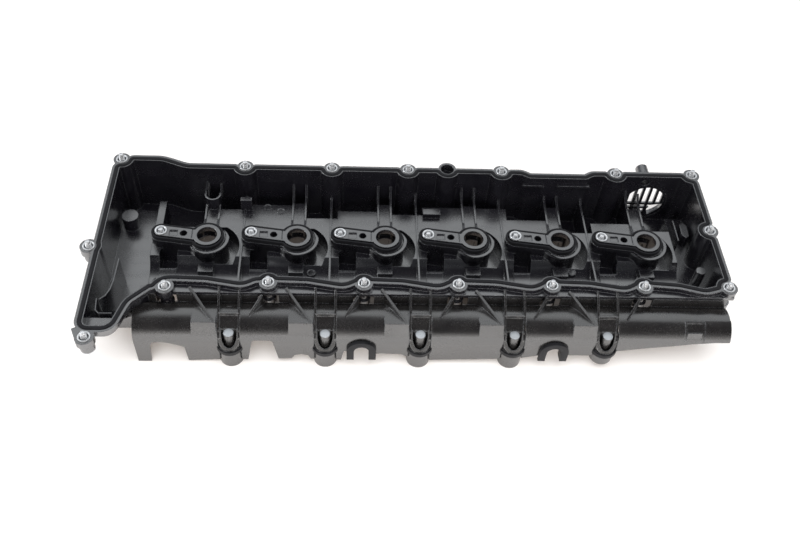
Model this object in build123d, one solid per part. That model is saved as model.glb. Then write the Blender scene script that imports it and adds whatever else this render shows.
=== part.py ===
"""Cam cover of a six-cylinder engine, lying crown down with its gasket side up.

Pieces: the moulded cover shell, the welded side apron, the perimeter gasket, six injector
seals, the oil filler grille, two edge grommets, and three sets of fastener pieces round the
flange and at the injector clamps. Millimetres, +Z up. The model is drawn with the gasket
plane at z = 0 and the injector row along X at y = 0, and is set down on its crown at the end.
"""
from build123d import *
import os
from math import atan2, degrees, radians, sin, tan

os.makedirs("parts", exist_ok=True)

# ---- driving dimensions -------------------------------------------------------------------
wall = 3.0                  # moulded wall
cylinders = 6
pitch = 91.0                # from one cylinder to the next
first_x = -227.5            # first injector bore

# flange and gasket
band = 7.6                  # width of the sealing flange
flange_t = 6.0              # flange thickness
rim_in = 1.0                # land inside the gasket groove
groove_gap = 0.4            # air on each side of the gasket
gasket_w = 3.2
gasket_depth = 3.0          # groove depth
gasket_proud = 0.8          # how far the gasket stands above the flange
left_in, right_in = -323.8, 286.7       # inner edges of the flange
rear_in = 75.5
rear_left_in = 85.8         # the rear edge steps out at the left end
notch_in = 70.4             # and steps in over this stretch
notch_x0, notch_x1 = 105.0, 176.0
front_in = -69.0            # inner edge of the wavy front
leg_front_in = -128.0       # front edge of the left leg
leg_right_in = -291.5       # its right edge

# flange screws
boss_r = 8.7                # outside of a screw boss
bump_r = 12.5               # inward bulge of the flange round a screw
front_bump_r = 11.4         # the same at the front screws
leg_screw = (-256.1, -81.8)  # front screw beside the left leg
front_screw_x = -159.6      # first of the evenly spaced front screws
front_screw_y = -75.6
front_screw_pitch = 91.15
rear_screws = [(-323.4, 87.2), (-193.6, 79.4), (-102.3, 79.4), (-21.1, 79.4), (79.5, 79.4),
               (204.2, 79.4), (288.2, 79.4)]
side_screws = [(-335.1, -33.9), (288.8, -1.2)]
corner_screws = [(-319.0, -140.7), (289.2, -75.8)]
screw_d = 6.0
screw_tip_d = 4.8
screw_tip_z = 7.0
tip_len = 3.0
screw_play = 0.3
sleeve_d = 12.0
sleeve_id = 8.5
sleeve_z = 0.9              # ring top above the gasket plane
sleeve_len = 6.4
neck_r = 4.9                # pillar under the boss
neck_len = 13.0
cup_r = 6.8                 # cup at the foot of the pillar
cup_len = 13.0
short_neck = 3.0            # pillar at the two outboard ears
short_cup = 6.0
ring_d = 11.2               # decoupling ring
ring_t = 4.6
ring_proud = 0.6
ring_play = 0.1
head_r = 6.6
head_t = 1.6
hex_af = 8.0
hex_h = 4.5

# empty locating boss in the rear flange
dowel_x, dowel_y = 21.2, 81.5
dowel_boss_r = 9.5
dowel_r = 7.0
dowel_depth = 9.0

# injector bosses
face_z = -19.2              # top of the injector face
bore_r = 10.1
face_r = 14.0
arm_half = 6.6              # half width of the clamp arm
arm_x, arm_y = -46.8, 4.7   # clamp screw from the bore centre
arm_end_r = 6.8
seal_gap = 0.9              # air between the face and its seal
seal_w = 2.1
seal_drop = 0.7             # seal top below the face
seal_seat = 4.8             # shoulder below the face
shoulder_r = 19.3
shoulder_z = -27.0
arm_hole_x, arm_hole_y, arm_hole_r = -23.7, 1.4, 3.7
lip_t = 3.4                 # height of the bore's wall
relief_r = 12.4             # relief under it
pocket_x0, pocket_x1, pocket_y0, pocket_y1 = -38.1, -29.8, -2.0, 5.6
pocket_depth = 1.6
slit_x, slit_w, slit_depth = -14.6, 0.8, 1.2
clamp_sleeve_d = 12.5
clamp_sleeve_len = 5.0
clamp_tip_up = 1.6          # clamp screw tip above its ring
clamp_boss_r = 7.8
clamp_screw_bottom = -44.0

# interior
gallery_z = -67.0           # floor of the deep rear gallery
deck_z = -35.0
recess_z = -55.0
recess_r = 30.5
trough_y, trough_z, trough_r = -38.0, -24.5, 25.0
trough_rear = -20.0
work_x0, work_x1 = -285.0, 262.0        # stretch with deck and trough
end_z = -50.0               # floor of the two end chambers
leg_z = -10.5               # floor of the left leg at its front
rib_t = 2.0
pair_half = 6.8             # half spacing of the rib pair behind a boss
rib_foot_z = -22.0          # where a rib leaves the rear wall
divider_x = 34.0            # divider, to the right of a bore
divider_z = -34.0
rear_edges = [(24.0, 50.0), (57.0, 39.0), (50.0, 46.0), (57.0, 57.0), (41.0, 24.0), (38.0, 28.0)]

# single forms inside the tray
hook_y, hook_r, hook_t, hook_z = 57.6, 7.6, 1.8, -20.0     # U rib behind the first boss
column_x, column_w, column_y = 35.5, 11.5, 54.0            # column right of the first boss
pillar_x, pillar_y, pillar_r, pillar_z = -313.0, 38.0, 8.5, -34.0
plateau_x0, plateau_x1, plateau_y, plateau_t = 41.0, 59.5, 42.0, 6.0

# filler opening, its grille and the breather stub
port_share = 0.486          # place of the port between the last two rear screws
port_x = rear_screws[5][0] + port_share * (rear_screws[6][0] - rear_screws[5][0])
port_z, port_r = -39.0, 25.0
collar_w, collar_len = 3.0, 9.0
grille_t = 2.4
grille_play = 0.2
bar_w = 3.0
slot_w = 5.0
stub_x = port_x - 6.2
stub_z, stub_r, stub_bore = -9.0, 6.6, 4.6
stub_root_r, stub_root = 8.2, 85.0      # shoulder at the foot of the stub
stub_end = 98.0

# side apron
rail_y = -84.5              # weld rail under the front flange
rail_z0, rail_z1 = -9.0, -5.5
apron_x0, apron_x1 = -285.5, 289.0
apron_y = -120.0            # front face
arch_r = 22.0               # rounded top of the apron
arch_top = -16.0
access_half = 10.0          # half width of the gap behind a front screw pillar
first_post_x = -195.9
posts = 5
post_y = -114.0
post_r = 11.4
post_foot = -70.0
post_top = -27.0
post_front_z = -46.5
last_post_lift = 8.0        # the last post is shorter
pin_r = 4.95
slot_half, slot_t = 6.15, 2.5
collar_r = 13.0
web_t = 2.4
pad_x0, pad_x1 = -34.5, -11.6
panel_x0, clip_x0, clip_x1 = 263.0, 243.5, 261.0
panel_proud = 1.3

# edge grommets
grommet_x = [-70.0, 118.0]
grommet_out, grommet_core, grommet_in = 14.2, 12.0, 7.2
grommet_top, grommet_foot = -34.5, -60.0
grommet_lip = 3.5           # thickness of each lip

# ---- helpers ------------------------------------------------------------------------------


def box(x0, x1, y0, y1, z0, z1):
    """Block between two corners."""
    size = Box(x1 - x0, y1 - y0, z1 - z0)
    return Pos((x0 + x1) / 2, (y0 + y1) / 2, (z0 + z1) / 2) * size


def drum(x, y, r, z0, z1):
    """Upright cylinder."""
    return Pos(x, y, (z0 + z1) / 2) * Cylinder(r, z1 - z0)


def roll(x0, x1, y, z, r):
    """Cylinder along X."""
    return Pos((x0 + x1) / 2, y, z) * Rot(0, 90, 0) * Cylinder(r, x1 - x0)


def bar(y0, y1, x, z, r):
    """Cylinder along Y."""
    return Pos(x, (y0 + y1) / 2, z) * Rot(90, 0, 0) * Cylinder(r, y1 - y0)


def prism(face, z0, z1):
    """Plan outline raised from z0 to z1."""
    return extrude(Pos(0, 0, z0) * face, z1 - z0, dir=(0, 0, 1))


def across(points, x0, x1):
    """Section (y, z) run along X."""
    face = make_face(Polyline(*points, close=True))
    return extrude(Pos(x0, 0, 0) * (Plane.YZ * face), x1 - x0, dir=(1, 0, 0))


def along(points, y0, y1):
    """Section (x, z) run along Y."""
    face = make_face(Polyline(*points, close=True))
    return extrude(Pos(0, y0, 0) * (Plane.XZ * face), y1 - y0, dir=(0, 1, 0))


def joined(shapes):
    """Union of a list of shapes."""
    return shapes[0] + shapes[1:]


def rounded(corners):
    """Face inside the corners (x, y, r), each rounded with its own radius."""
    points = [Vector(x, y) for x, y, _ in corners]
    count = len(points)
    starts, mids, ends = [], [], []
    for i, here in enumerate(points):
        back = (points[i - 1] - here).normalized()
        ahead = (points[(i + 1) % count] - here).normalized()
        half = radians(back.get_angle(ahead)) / 2
        r = corners[i][2]
        reach = r / tan(half)
        middle = (back + ahead).normalized()
        starts.append(here + back * reach)
        ends.append(here + ahead * reach)
        mids.append(here + middle * (r / sin(half) - r))
    edges = []
    for i in range(count):
        edges.append(Edge.make_three_point_arc(starts[i], mids[i], ends[i]))
        edges.append(Edge.make_line(ends[i], starts[(i + 1) % count]))
    return Face(Wire(edges))


def grown(face, amount):
    """Outline moved outwards, as one face."""
    if amount == 0:
        return face
    return offset(face, amount).face()


# ---- flange outline and screws ------------------------------------------------------------

front_row = [(front_screw_x + k * front_screw_pitch, front_screw_y) for k in range(cylinders - 1)]
front_screws = [leg_screw] + front_row
long_screws = rear_screws + [side_screws[1]] + front_screws + [corner_screws[1]]
short_screws = [side_screws[0], corner_screws[0]]
flange_screw_points = long_screws + short_screws


def wave():
    """Inner front edge from right to left: a shallow wave between the screws."""
    shape = [(83, 0.0, 14), (72, -6.2, 14), (38, 0.0, 30), (8, 1.0, 14)]
    corners = []
    for x, _ in reversed(front_screws[:-1]):
        for dx, dy, r in shape:
            corners.append((x + dx, front_in + dy, r))
    return corners


def inner_outline():
    """Inner edge of the flange, counter-clockwise from the rear left corner."""
    last_x = front_screws[-1][0]
    corners = [
        (left_in, rear_left_in, 9),
        (left_in, leg_front_in, 6),
        (leg_right_in - 9, leg_front_in, 9),
        (leg_right_in, leg_front_in + 30, 22),
        (leg_right_in + 24, front_in - 6, 24),
        (leg_screw[0] - 8, front_in + 0.5, 20),
    ]
    corners += list(reversed(wave()))
    corners += [
        (last_x + 8, front_in + 1, 14),
        (last_x + 36, front_in - 1.5, 30),
        (last_x + 60, front_in - 8, 14),
        (last_x + 76, front_in - 3.4, 12),
        (right_in, front_in - 3.4, 5),
        (right_in, rear_in, 6),
        (notch_x1 + 4, rear_in, 8),
        (notch_x1 - 4, notch_in, 8),
        (notch_x0 + 4, notch_in, 8),
        (notch_x0 - 4, rear_in, 8),
        (left_in + 68, rear_in, 30),
        (left_in + 42, rear_left_in, 30),
    ]
    return rounded(corners)


inner = inner_outline()
bulges = [Pos(x, y) * Circle(bump_r) for x, y in rear_screws + side_screws + [corner_screws[1]]]
bulges += [Pos(x, y) * Circle(front_bump_r) for x, y in front_row]
bulges.append(Pos(dowel_x, dowel_y) * Circle(bump_r + 0.5))
mouth = inner
for bulge in bulges:
    mouth = mouth - bulge
mouth = mouth.face()


# ---- cover shell --------------------------------------------------------------------------

bores = [(first_x + k * pitch, 0.0) for k in range(cylinders)]
groove_out = rim_in + 2 * groove_gap + gasket_w
wall_outline = grown(mouth, wall)
crown_z = gallery_z - wall
arm_root = (-10.0, -0.6)


def keyhole(grow):
    """Outline of an injector boss with its clamp arm, grown outwards."""
    end = Vector(arm_x, arm_y)
    start = Vector(*arm_root)
    run = end - start
    middle = (start + end) / 2
    turn = degrees(atan2(run.Y, run.X))
    arm = Pos(middle.X, middle.Y) * Rot(0, 0, turn) * Rectangle(run.length, 2 * (arm_half + grow))
    head = Circle(face_r + grow)
    tail = Pos(arm_x, arm_y) * Circle(arm_end_r + grow)
    return (head + arm + tail).face()


def bed(grow):
    """Hollow of the tray; grown by the wall it is the solid that holds it."""
    z1 = 2.0 if grow == 0 else -flange_t / 2
    rooms = [
        box(work_x0 - grow, work_x1 + grow, trough_rear - grow, 60, deck_z - grow, z1),
        box(work_x0 - grow, work_x1 + grow, -100, trough_rear + grow, trough_z - grow, z1),
        roll(work_x0 - grow, work_x1 + grow, trough_y, trough_z, trough_r + grow),
        box(-400, work_x0 + grow, -90 - grow, 200, end_z - grow, z1),
        box(work_x1 - grow, 400, -100, 60, end_z - grow, z1),
        box(-400, 400, 60 - grow, 200, gallery_z - grow, z1),
        across([(-200, leg_z - grow), (-112, leg_z - grow), (-86, end_z + 16 - grow),
                (-60, end_z + 12 - grow), (-60, z1), (-200, z1)], -400, work_x0 + grow),
    ]
    for k, (x, y) in enumerate(bores):
        left, right = rear_edges[k]
        rooms.append(box(x - 50 - grow, x - 7 + grow, left - grow, 62, gallery_z - grow, z1))
        rooms.append(box(x + 7 - grow, x + 41 + grow, right - grow, 62, gallery_z - grow, z1))
        scoop = drum(x + 1, y - 2, recess_r + grow, recess_z - grow, z1)
        side = box(x + 7 - grow, x + 60, y - 20 - grow, y + 24 + grow, recess_z - grow, z1)
        rooms.append(scoop & side)
        rooms.append(box(x - 48 - grow, x - 30 + grow, y - 24 - grow, y - 6, recess_z - grow, z1))
    hollow = joined(rooms)
    return hollow & prism(grown(mouth, grow), gallery_z - grow - 1, z1)


def flange_plate():
    """Sealing flange with its bosses."""
    shapes = [drum(x, y, boss_r, -flange_t - 2, 0) for x, y in flange_screw_points]
    shapes.append(drum(dowel_x, dowel_y, dowel_boss_r, -dowel_depth - wall, 0))
    shapes.append(Pos(-324, -138, -flange_t / 2) * Rot(0, 0, 25) * Box(10, 18, flange_t))
    return [prism(grown(mouth, band), -flange_t, 0) - prism(mouth, -flange_t - 1, 1)] + shapes


def pillars():
    """Screw pillars with a cup at the foot."""
    shapes = []
    for x, y in long_screws:
        z = -flange_t - 2
        shapes.append(drum(x, y, neck_r, z - neck_len, z))
        shapes.append(drum(x, y, cup_r, z - neck_len - cup_len, z - neck_len))
    for x, y in short_screws:
        z = -flange_t - 2
        shapes.append(drum(x, y, cup_r, z - short_neck - short_cup, z))
    return shapes


def foot_z(point):
    """Underside of the cup at a flange screw."""
    if point in short_screws:
        return -flange_t - 2 - short_neck - short_cup
    return -flange_t - 2 - neck_len - cup_len


def screw_holes():
    """Seats for the sleeve and the decoupling ring, and the way between them."""
    shapes = []
    for point in flange_screw_points:
        x, y = point
        z = foot_z(point)
        shapes.append(drum(x, y, sleeve_d / 2, sleeve_z - sleeve_len, 1))
        shapes.append(drum(x, y, screw_d / 2 + screw_play, z - 1, 1))
        shapes.append(drum(x, y, ring_d / 2, z - 1, z + ring_t - ring_proud))
    return shapes


def injector_bosses():
    """Injector bosses with clamp arms, cored from the crown side."""
    shapes = []
    for x, y in bores:
        here = Pos(x, y, 0)
        seat = keyhole(seal_gap + seal_w + 0.6)
        tower = prism(keyhole(0), face_z - seal_seat, face_z) + [
            prism(seat, recess_z - 1, face_z - seal_seat),
            drum(0, 0, shoulder_r, recess_z - 1, shoulder_z),
        ]
        tower = tower - prism(keyhole(0), recess_z - 3, face_z - seal_seat - wall)
        tower = tower - drum(0, 0, shoulder_r - wall, recess_z - 3, shoulder_z - wall)
        tower = tower + drum(arm_x, arm_y, clamp_boss_r, clamp_screw_bottom, face_z - seal_seat)
        shapes.append(here * tower)
    return shapes


def injector_cuts():
    """Bores, clamp screw holes and the small openings on the arms."""
    shapes = []
    for x, y in bores:
        cuts = [
            drum(0, 0, bore_r, crown_z - 1, 0),
            drum(0, 0, relief_r, crown_z - 1, face_z - lip_t),
            drum(arm_hole_x, arm_hole_y, arm_hole_r, face_z - 12, 0),
            box(pocket_x0, pocket_x1, pocket_y0, pocket_y1, face_z - pocket_depth, 0),
            box(slit_x - slit_w, slit_x, -5, 8.5, face_z - slit_depth, 0),
            drum(arm_x, arm_y, clamp_sleeve_d / 2, face_z - clamp_sleeve_len, 0),
            drum(arm_x, arm_y, screw_d / 2 + screw_play, clamp_screw_bottom - 20, 0),
        ]
        shapes += [Pos(x, y, 0) * cut for cut in cuts]
    return shapes


def ribs():
    """Rib pairs behind the bosses, dividers between the cylinders, seats in the trough."""
    shapes = []
    high = [(90, rib_foot_z), (rear_in, rib_foot_z), (66, -31), (34, -33), (12, -30), (12, crown_z)]
    long = [(90, -26), (rear_in, -26), (64, divider_z), (-80, divider_z), (-80, crown_z)]
    for k, (x, y) in enumerate(bores):
        for side in (-1, 1):
            centre = x + side * pair_half
            shapes.append(across(high + [(90, crown_z)], centre - rib_t / 2, centre + rib_t / 2))
        if k < cylinders - 1:
            centre = x + divider_x
            shapes.append(across(long + [(90, crown_z)], centre - rib_t / 2, centre + rib_t / 2))
        shapes.append(box(x - 8, x + 7, -33.5, -24, -56, -38))
        seat = roll(x - 48, x - 31.5, trough_y, trough_z, trough_r + 1)
        seat = seat - roll(x - 50, x - 30, trough_y, trough_z, trough_r - 1.6)
        shapes.append(seat & box(x - 60, x, -90, -26, -70, -36))
    return joined(shapes)


def single_forms():
    """The hook rib, the column, the pillar and the raised block that occur once."""
    x = bores[0][0]
    bow = drum(x, hook_y, hook_r + hook_t / 2, crown_z, hook_z)
    bow = bow - drum(x, hook_y, hook_r - hook_t / 2, crown_z - 1, 0)
    bow = bow - box(x - 20, x + 20, hook_y + 2, hook_y + 20, crown_z - 1, 0)
    leg = box(x - hook_r - hook_t / 2, x - hook_r + hook_t / 2, hook_y, 90, crown_z, hook_z)
    column = box(x + column_x - column_w / 2, x + column_x + column_w / 2, 49, column_y,
                 crown_z, hook_z)
    pillar = drum(pillar_x, pillar_y, pillar_r, crown_z, pillar_z)
    x = bores[2][0]
    block = box(x + plateau_x0, x + plateau_x1, plateau_y, plateau_y + 8, deck_z - 1,
                deck_z + plateau_t)
    return [bow, leg, column, pillar, block]


def cover_shell():
    """The one-piece moulding: flange, walls, deck, bosses and ribs."""
    outer = bed(wall)
    shell = outer - bed(0)
    rail = box(leg_screw[0] + 6, right_in + band, rail_y, -72, rail_z0, rail_z1)
    port_y = rear_in + collar_len
    shell = shell + [
        ribs() & outer,
        joined(single_forms()) & outer,
        rail - prism(mouth, rail_z0 - 1, rail_z1 + 1),
        bar(rear_in, port_y, port_x, port_z, port_r + collar_w),
        bar(rear_in + 1, stub_root, stub_x, stub_z, stub_root_r),
        bar(stub_root - 1, stub_end, stub_x, stub_z, stub_r),
    ] + injector_bosses() + pillars() + flange_plate()
    groove = prism(grown(mouth, groove_out), -gasket_depth, 1) - prism(grown(mouth, rim_in), -20, 2)
    shell = shell - ([
        groove,
        drum(dowel_x, dowel_y, dowel_r, -dowel_depth, 1),
        bar(rear_in - 2, port_y + 1, port_x, port_z, port_r),
        bar(rear_in - 2, stub_end + 1, stub_x, stub_z, stub_bore),
    ] + injector_cuts() + screw_holes())
    return shell


# ---- side apron ---------------------------------------------------------------------------

post_points = [(first_post_x + k * pitch, post_y) for k in range(posts)]
arch_y = apron_y + arch_r
arch_z = arch_top - arch_r
skin_rear = rail_y + wall
lower_edge = [
    (apron_x0, -69.9), (-273, -69.9), (-271.4, -47.7), (-269.9, -40.9), (-267.6, -38.4),
    (-261, -37.5), (-253.7, -39), (-243, -43), (-238.6, -46), (-237.2, -68), (-208.5, -66),
    (-179.5, -65.5), (-174.3, -35.5), (-172, -34.2), (-157, -34.2), (-154.7, -36), (-150.2, -64.2),
    (-137.5, -63.2), (-134.5, -58), (-128, -56), (-121.5, -58), (-119, -64), (-89.6, -65.2),
    (-86.8, -50), (-55.5, -54.1), (-32, -54.7), (-14.6, -65.1), (54.8, -62.3), (87.5, -60),
    (106.5, -54.5), (162.3, -54.5), (181.8, -46.4), (213.4, -40.7), (251.5, -34.5),
    (apron_x1, -31),
]


def arch(inset, x0, x1):
    """Solid under the arched top; inset makes the hollow inside it."""
    base = post_foot - 2 - inset
    return roll(x0, x1, arch_y, arch_z, arch_r - inset) + [
        box(x0, x1, apron_y + inset, skin_rear - inset, base, arch_z),
        box(x0, x1, arch_y, skin_rear - inset, arch_z, arch_top - 7 - inset),
    ]


def apron_skin():
    """The arched sheet with its end plates and welding edge."""
    solid = arch(0, apron_x0, apron_x1) + box(apron_x0, apron_x1, rail_y, skin_rear, -40, rail_z0)
    hollow = arch(wall, apron_x0 + wall, apron_x1 - wall)
    keep = along([(apron_x0, 0)] + lower_edge + [(apron_x1, 0)], -140, -70)
    return (solid - hollow) & keep


def panels():
    """Raised panel at the right-hand end and the clip plate beside it."""
    proud = roll(panel_x0, apron_x1, arch_y, arch_z, arch_r + panel_proud)
    proud = proud - roll(panel_x0 - 1, apron_x1 + 1, arch_y, arch_z, arch_r - 1)
    plate = across([(-113, -23.5), (-116, -29.5), (-119.5, -31), (-115.8, -21.5)],
                   clip_x0 + 2, clip_x1 - 1)
    frame = roll(clip_x0, clip_x1, arch_y, arch_z, arch_r + 0.7)
    frame = frame - roll(clip_x0 - 1, clip_x1 + 1, arch_y, arch_z, arch_r - 1)
    frame = frame - box(clip_x0 + 1.5, clip_x1 + 1, -118.2, -107, -80, 0)
    window = box(clip_x0 - 1, apron_x1 + 1, -140, arch_y - 6.5, -31, 0)
    return [proud & window, frame & window, plate]


def post(x, y, foot):
    """Screw post with its slanted head, slot and collar."""
    body = drum(x, y, post_r, foot, post_top)
    front = y - post_r
    slant = across([(y + 1, post_top + 1), (y + 1, post_top), (front - 0.1, post_front_z),
                    (front - 9, post_front_z), (front - 9, post_top + 1)], x - 20, x + 20)
    ring = Circle(slot_half + slot_t / 2) - Circle(slot_half - slot_t / 2)
    bar_cut = Rectangle(slot_t, 12, align=(Align.CENTER, Align.MIN))
    legs = Pos(-slot_half, 0) * bar_cut + Pos(slot_half, 0) * bar_cut
    lower = Pos(0, -20) * Rectangle(40, 40)
    slot = prism(Pos(x, y - 1.5) * ((ring & lower) + legs), post_front_z - 4, 0)
    collar = drum(x, y, collar_r, post_front_z - 2.5, post_front_z + 1.5)
    collar = collar - box(x - 20, x + 20, y - 1.5, y + 20, -80, 0) - drum(x, y, post_r - 1, -80, 0)
    pin = drum(x, y - 1.5, pin_r, post_front_z - 4.5, post_top - 0.6)
    return (body - slant) + collar - slot + pin


def bracket(x, y):
    """The cell round a post: two side ribs, a cross rib and a ramp down to the pin."""
    half = post_r - 1.9
    rib = [(rail_y + 5, -2.2), (rail_y - 2, -4.8), (-101, -14.5), (-113, -27.5), (-118, -33),
           (-118, -62), (rail_y + 5, -62)]
    shapes = [across(rib, x + side * half - 1 + 0.05 * side, x + side * half + 1 + 0.05 * side)
              for side in (-1, 1)]
    shapes.append(box(x - half, x + half, -102, -100, -34, -14.8))
    ramp = [(-100, -16.8), (-111.5, post_top - 0.8), (-111.5, -62), (-100, -62)]
    shapes.append(across(ramp, x - half, x + half))
    return shapes


def web(start, end, root_z, tip_z):
    """Upright plate from the flange to the apron; start and end lie on its top edge."""
    run = Vector(end[0] - start[0], end[1] - start[1])
    face = make_face(Polyline((0, start[2]), (run.length, end[2]), (run.length, tip_z),
                              (0, root_z), close=True))
    turn = degrees(atan2(run.Y, run.X))
    plate = extrude(Plane.XZ * face, web_t / 2, both=True)
    return Pos(start[0], start[1], 0) * Rot(0, 0, turn) * plate


def webs(x):
    """The two slanting webs of a post, to its left and to its right."""
    return [
        web((x - 37.5, -80, -3), (x - 13.5, -111, arch_top), arch_top - 9, arch_top - 7),
        web((x + 31, -88, -4), (x + 11.5, -113, -24), arch_top - 9, -27),
    ]


def pad(x):
    """Flat-faced block beside a post, level with the top of the arch."""
    return across([(arch_y, arch_top), (-112, arch_top), (-118, -28.8), (-112, -30), (arch_y, -20)],
                  x + pad_x0, x + pad_x1)


def side_apron(blockers):
    """The welded shell along the front, with its posts, ribs, webs and pads."""
    half = post_r - 0.8
    cuts = [box(x - half, x + half, -140, -100, -80, 0) for x, _ in post_points]
    cuts += [box(x - access_half, x + access_half, rail_y - 1, skin_rear + 1, -37, 0)
             for x, _ in front_screws]
    cuts.append(box(apron_x0 + wall, apron_x1 - wall, rail_y - 1, skin_rear + 1, -80, arch_z - 8))
    centre_z = grommet_top - grommet_core
    for x in grommet_x:
        cuts.append(box(x - grommet_core, x + grommet_core, -140, -112, -80, centre_z))
        cuts.append(bar(-140, -112, x, centre_z, grommet_core))
    shapes = panels()
    for k, (x, y) in enumerate(post_points):
        foot = post_foot + (last_post_lift if k == posts - 1 else 0)
        shapes.append(post(x, y, foot))
        shapes += bracket(x, y) + webs(x)
        shapes.append(pad(x))
    return (apron_skin() - cuts) + shapes - blockers


# ---- soft parts and fasteners -------------------------------------------------------------


def perimeter_gasket():
    """Rubber cord gasket lying in the flange groove."""
    inside = grown(mouth, rim_in + groove_gap)
    outside = grown(mouth, rim_in + groove_gap + gasket_w)
    return prism(outside, -gasket_depth, gasket_proud) - prism(inside, -20, 20)


def injector_seal(x, y):
    """Keyhole-shaped seal round an injector boss and its clamp arm."""
    low = face_z - seal_seat
    high = face_z - seal_drop
    ring = prism(keyhole(seal_gap + seal_w), low, high) - prism(keyhole(seal_gap), -60, 0)
    return Pos(x, y, 0) * ring


def screw(x, y, tip_z, under_head, tip_d):
    """Flange-head screw, head down, with a dog point."""
    return joined([
        drum(x, y, screw_d / 2, under_head - 0.1, tip_z - tip_len),
        drum(x, y, tip_d / 2, tip_z - tip_len - 0.1, tip_z),
        drum(x, y, head_r, under_head - head_t, under_head),
        Pos(x, y, 0) * prism(RegularPolygon(hex_af / 2, 6, major_radius=False),
                             under_head - head_t - hex_h, under_head - head_t),
    ])


def tube(x, y, outer_d, inner_d, z0, z1):
    """Sleeve or washer."""
    return drum(x, y, outer_d / 2, z0, z1) - drum(x, y, inner_d / 2, z0 - 1, z1 + 1)


def flange_screws():
    """One captive screw in each flange boss."""
    return [screw(p[0], p[1], screw_tip_z, foot_z(p) - ring_proud, screw_tip_d)
            for p in flange_screw_points]


def flange_sleeves():
    """Steel compression sleeves pressed into the flange bosses."""
    return [tube(x, y, sleeve_d, sleeve_id, sleeve_z - sleeve_len, sleeve_z)
            for x, y in flange_screw_points]


def decoupling_rings():
    """Rubber rings between the screw heads and the cups."""
    bore = screw_d + 2 * ring_play
    return [tube(p[0], p[1], ring_d, bore, foot_z(p) - ring_proud, foot_z(p) + ring_t - ring_proud)
            for p in flange_screw_points]


def injector_screws():
    """Clamp screws, standing a little above their sleeves."""
    top = face_z + sleeve_z + clamp_tip_up
    return [screw(x + arm_x, y + arm_y, top, clamp_screw_bottom, screw_tip_d) for x, y in bores]


def injector_sleeves():
    """Sleeves in the clamp arms."""
    top = face_z + sleeve_z
    return [tube(x + arm_x, y + arm_y, clamp_sleeve_d, sleeve_id, face_z - clamp_sleeve_len, top)
            for x, y in bores]


def edge_grommet(x):
    """U-shaped rubber grommet gripping the apron's lower edge."""

    def arch_plate(r, y0, y1, foot):
        centre = grommet_top - grommet_core
        return [box(x - r, x + r, y0, y1, foot, centre), bar(y0, y1, x, centre, r)]

    y0, y1 = apron_y - grommet_lip, apron_y + wall + grommet_lip
    body = joined(arch_plate(grommet_out, y0, apron_y, grommet_foot)
                  + arch_plate(grommet_core, apron_y - 0.5, apron_y + wall + 0.5, grommet_foot)
                  + arch_plate(grommet_out, apron_y + wall, y1, grommet_foot))
    body = body - arch_plate(grommet_in, y0 - 1, y1 + 1, grommet_foot - 1)
    return body - box(x - 30, x + 30, apron_y + wall, y1 + 1, arch_z - 0.2, 0)


def filler_grille():
    """Slotted strainer disc across the filler opening."""
    y0 = rear_in + 0.6
    disc = bar(y0, y0 + grille_t, port_x, port_z, port_r - grille_play)
    step = bar_w + slot_w
    rows = [(port_z - 2, port_z + 30, 3), (port_z - 8.5, port_z - 5, 3), (port_z - 16, port_z - 11, 2)]
    slots = []
    for z0, z1, reach in rows:
        for k in range(-reach, reach + 1):
            if z1 < port_z - 3 and k > reach - 2:
                continue
            x = port_x + k * step
            slots.append(box(x - slot_w / 2, x + slot_w / 2, y0 - 2, y0 + 9, z0, z1))
    gap = [(port_x + 9, port_z - 21), (port_x + 6, port_z - 11.5), (port_x + 10, port_z - 5),
           (port_x + 22, port_z - 3), (port_x + 20, port_z - 10)]
    slots.append(along(gap, y0 - 2, y0 + 9))
    field = bar(y0 - 5, y0 + 12, port_x, port_z, port_r - 3)
    return disc - (joined(slots) & field)


# ---- build --------------------------------------------------------------------------------

blockers = flange_plate() + [
    box(leg_screw[0] + 6, right_in + band, rail_y, -72, rail_z0, rail_z1),
    prism(wall_outline, crown_z, -flange_t),
] + pillars() + [drum(x, y, cup_r + 0.5, -60, -flange_t) for x, y in front_screws]

parts = {
    "cover_shell": [cover_shell()],
    "side_apron": [side_apron(blockers)],
    "perimeter_gasket": [perimeter_gasket()],
    "filler_grille": [filler_grille()],
    "edge_grommet_left": [edge_grommet(grommet_x[0])],
    "edge_grommet_right": [edge_grommet(grommet_x[1])],
    "flange_screws": flange_screws(),
    "flange_sleeves": flange_sleeves(),
    "decoupling_rings": decoupling_rings(),
    "injector_screws": injector_screws(),
    "injector_sleeves": injector_sleeves(),
}
for k, (x, y) in enumerate(bores):
    parts[f"injector_seal_{k + 1}"] = [injector_seal(x, y)]

boxes = [shape.bounding_box() for shapes in parts.values() for shape in shapes]
low = Vector(min(b.min.X for b in boxes), min(b.min.Y for b in boxes), min(b.min.Z for b in boxes))
high = Vector(max(b.max.X for b in boxes), max(b.max.Y for b in boxes), max(b.max.Z for b in boxes))
stand = Pos(-(low.X + high.X) / 2, -(low.Y + high.Y) / 2, -low.Z)
for name, shapes in parts.items():
    solids = [stand * solid for shape in shapes for solid in shape.solids()]
    export_step(Compound(solids), f"parts/{name}.step")
    print(name, len(solids), "solids")
print("set down by", stand.position)
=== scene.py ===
"""Dresses the cam cover: moulded nylon, seal rubber and zinc-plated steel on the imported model.

Every sub-assembly is a class with its sizes as fields. It builds its meshes in metres, in the
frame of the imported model, and dresses them with one of the finishes below. Sizes are in
millimetres where nothing else is said; those of materials, seals and lamps are in metres.
"""
import logging
import math
from collections.abc import Callable
from dataclasses import dataclass, field
from enum import Enum

import bmesh
import bpy
from mathutils import Matrix, Vector
from mathutils.bvhtree import BVHTree


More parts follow.
